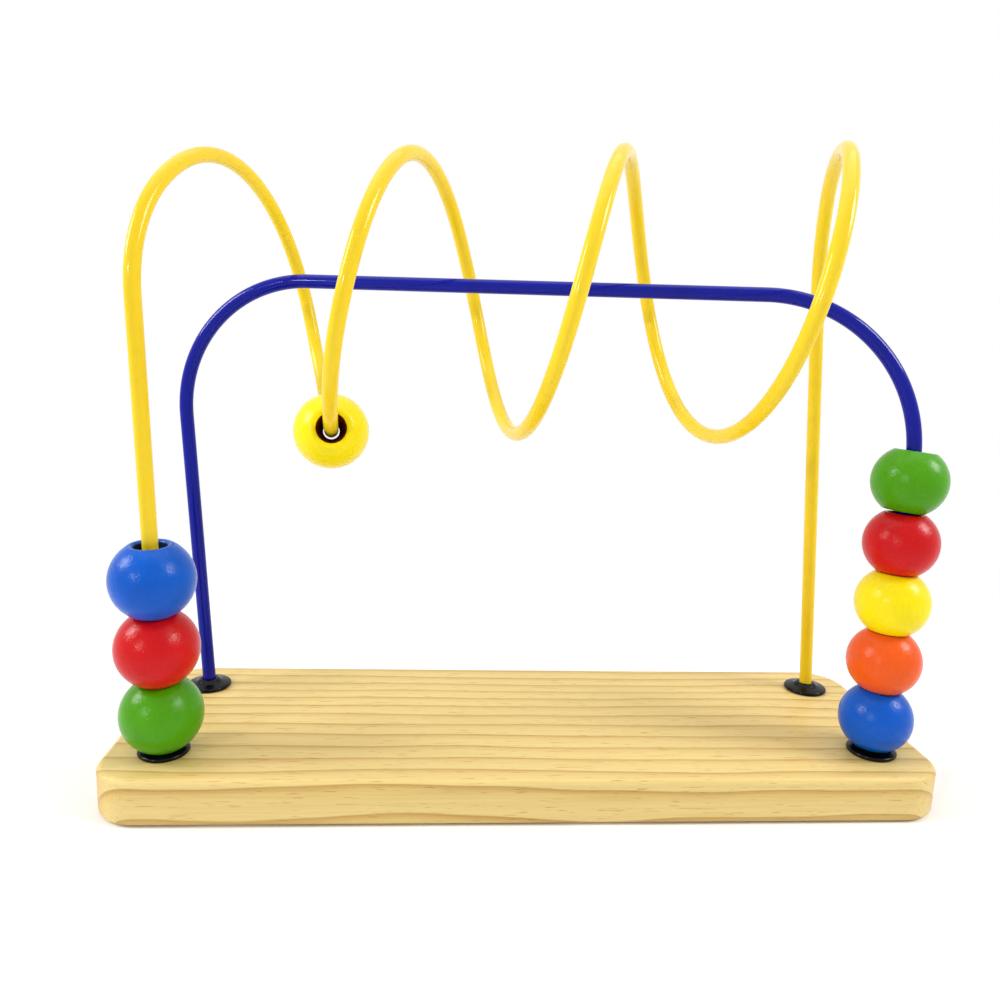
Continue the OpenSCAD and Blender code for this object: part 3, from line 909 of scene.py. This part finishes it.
lip, rise_foot, rise_top, rise_steps = 0.0003, 0.0053, 0.0031, 12
rise = []
for step in range(1, rise_steps + 1):
    share = step / rise_steps
    distance, height = dome_at(rise_foot + (rise_top - rise_foot) * share)
    blend = (1 - math.cos(math.pi * share)) / 2
    rise.append((distance, height + (hub_height - height) * blend))
bush_section = [(neck_radius, neck_foot), (neck_radius, neck_foot / 2), (neck_radius, 0)] \
    + arc((dome_reach, edge_height / 2), edge_height / 2, -math.pi / 2, math.pi / 2, 12) \
    + [dome_at(dome_reach + (rise_foot - dome_reach) * i / 8) for i in range(1, 9)] + rise \
    + arc((bush_hole + lip, hub_height - lip), lip, math.pi / 2, math.pi, 4) \
    + [(bush_hole, 0), (bush_hole, neck_foot)]
print("grommet section:", len(bush_section), "points")

# %% Turn the four grommets
for corner, foot in feet.items():
    outline = section_object(corner + "_section", bush_section)
    bush = made_by(corner + "_bush", outline, turn_tree, turn_keys,
                   around=72, path_radius=section_shift, hole_reach=0.0, place=at_height(foot, board_top),
                   turn=(0, 0, 0), outside=black_plastic, hole=black_plastic)
    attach(bush, "stand")
    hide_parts(corner + "_grommet")
print("grommets:", len(feet), "faces each", len(bush.data.polygons))

# %% [markdown]
# ## Pieces: the fasteners under the board
# Each wire ends in a threaded stud that a washer and a nut hold in a round recess. One washer, one nut
# and one stud are drawn as rings of points round an axis, which gives the nut its six flats with
# chamfered corners and the stud its thread. A tree of geometry nodes then sets one at each foot,
# because the feet stand on a plain rectangle.

# %% Make the zinc
zinc, zinc_tree, zinc_shader = finish("zinc plate")
zinc_place = put(zinc_tree, "ShaderNodeTexCoord").outputs["Object"]
zinc_cloud = noise(zinc_tree, zinc_place, 700.0, 3.0)
zinc_tree.links.new(ramp(zinc_tree, zinc_cloud, (0.3, shade(160, 163, 168)), (0.7, shade(192, 194, 198))),
                    zinc_shader.inputs["Base Color"])
zinc_tree.links.new(spread(zinc_tree, zinc_cloud, 0.26, 0.42), zinc_shader.inputs["Roughness"])
zinc_grain = noise(zinc_tree, zinc_place, 2600.0, 2.0)
zinc_tree.links.new(bumped(zinc_tree, zinc_grain, 0.00003, 0.2), zinc_shader.inputs["Normal"])
zinc_shader.inputs["Metallic"].default_value = 1.0
print("finish:", zinc.name)

# %% Build the tree that sets one piece at each foot
foot_tree, foot_in, foot_keys = new_tree(
    "one at each foot", span_x="Float", span_y="Float", plate="Material")
foot_grid = put(foot_tree, "GeometryNodeMeshGrid",
                Size_X=foot_in.outputs["Span x"], Size_Y=foot_in.outputs["Span y"],
                Vertices_X=2, Vertices_Y=2)
foot_points = put(foot_tree, "GeometryNodeInstanceOnPoints", Points=foot_grid.outputs["Mesh"],
                  Instance=foot_in.outputs["Geometry"])
foot_real = put(foot_tree, "GeometryNodeRealizeInstances", Geometry=foot_points.outputs[0])
foot_plated = put(foot_tree, "GeometryNodeSetMaterial",
                  Geometry=foot_real.outputs[0], Material=foot_in.outputs["Plate"])
foot_tree.links.new(foot_plated.outputs[0], foot_tree.nodes.new("NodeGroupOutput").inputs[0])
print("tree:", foot_tree.name, "inputs", list(foot_keys))

# %% Set outlines round an axis


def ringed(name, outline, around, closed):
    """A mesh object of outlines set round the Z axis; outline(turn) gives (distance, height) points."""
    shape = bmesh.new()
    rows = []
    for step in range(around):
        turn = math.tau * step / around
        rows.append([shape.verts.new((distance * math.cos(turn), distance * math.sin(turn), height))
                     for distance, height in outline(turn)])
    count = len(rows[0])
    for row, next_row in zip(rows, rows[1:] + rows[:1]):
        for i in range(count if closed else count - 1):
            k = (i + 1) % count
            shape.faces.new((row[i], next_row[i], next_row[k], row[k]))
    if not closed:
        shape.faces.new([row[0] for row in rows])
        shape.faces.new([row[-1] for row in rows])
    mesh = bpy.data.meshes.new(name)
    shape.to_mesh(mesh)
    shape.free()
    thing = bpy.data.objects.new(name, mesh)
    scene.collection.objects.link(thing)
    return thing


print("ring helper ready")

# %% Draw washer and nut
washer_low, washer_high = (corner.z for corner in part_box("foot_washers"))
nut_low, nut_high = (corner.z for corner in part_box("foot_nuts"))
washer_radius, washer_hole, washer_round = 0.0045, 0.0022, 0.00015
nut_flat, nut_hole, nut_chamfer = 0.0035, 0.0021, 0.00025
nut_face, nut_edge, nut_cone = nut_flat * 0.97, 0.00006, math.radians(30)


def washer_outline(turn):
    """A flat ring with broken edges."""
    return [(washer_hole, washer_low), (washer_radius - washer_round, washer_low),
            (washer_radius, washer_low + washer_round), (washer_radius, washer_high - washer_round),
            (washer_radius - washer_round, washer_high), (washer_hole, washer_high)]


def nut_outline(turn):
    """Six flats whose corners are chamfered at both ends, and a hole with broken edges."""
    sixth = math.tau / 6
    reach = nut_flat / math.cos((turn + sixth / 2) % sixth - sixth / 2)
    reach = min(reach, nut_flat / math.cos(sixth / 2))
    slope = (reach - nut_flat) * math.tan(nut_cone) + nut_edge
    return [(nut_hole, nut_low + nut_chamfer), (nut_hole + nut_chamfer, nut_low), (nut_face, nut_low),
            (reach, nut_low + slope), (reach, nut_high - slope), (nut_face, nut_high),
            (nut_hole + nut_chamfer, nut_high), (nut_hole, nut_high - nut_chamfer)]


print("washer from", round(washer_low, 4), "nut from", round(nut_low, 4))

# %% Draw the stud
stud_low, stud_radius, stud_tip = 0.0012, 0.002, 0.0005
thread_pitch, thread_depth, pitch_steps = 0.0007, 0.00038, 8


def stud_outline(turn):
    """A thread that climbs one pitch in each turn, with a cone at its tip."""
    steps = round((shoulder_height - stud_low) / (thread_pitch / pitch_steps))
    points = []
    for i in range(steps + 1):
        height = stud_low + (shoulder_height - stud_low) * i / steps
        phase = ((height / thread_pitch) - turn / math.tau) % 1
        groove = thread_depth * abs(2 * phase - 1)
        tip = max(0, stud_tip - (height - stud_low))
        points.append((stud_radius - max(groove, tip), height))
    return points


print("stud outline:", len(stud_outline(0)), "points")

# %% Set washers, nuts and studs at the feet
fasteners = {
    "foot_washer_ring": (ringed("washer_blank", washer_outline, 48, True), "foot_washers"),
    "foot_hex_nut": (ringed("nut_blank", nut_outline, 72, True), "foot_nuts"),
    "foot_thread_stud": (ringed("stud_blank", stud_outline, 28, False), None),
}
for name, (blank, node) in fasteners.items():
    piece = made_by(name, blank, foot_tree, foot_keys, span_x=2 * foot_x, span_y=2 * foot_y, plate=zinc)
    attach(piece, "stand")
    if node:
        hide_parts(node)
    print(name, len(piece.data.polygons), "faces")
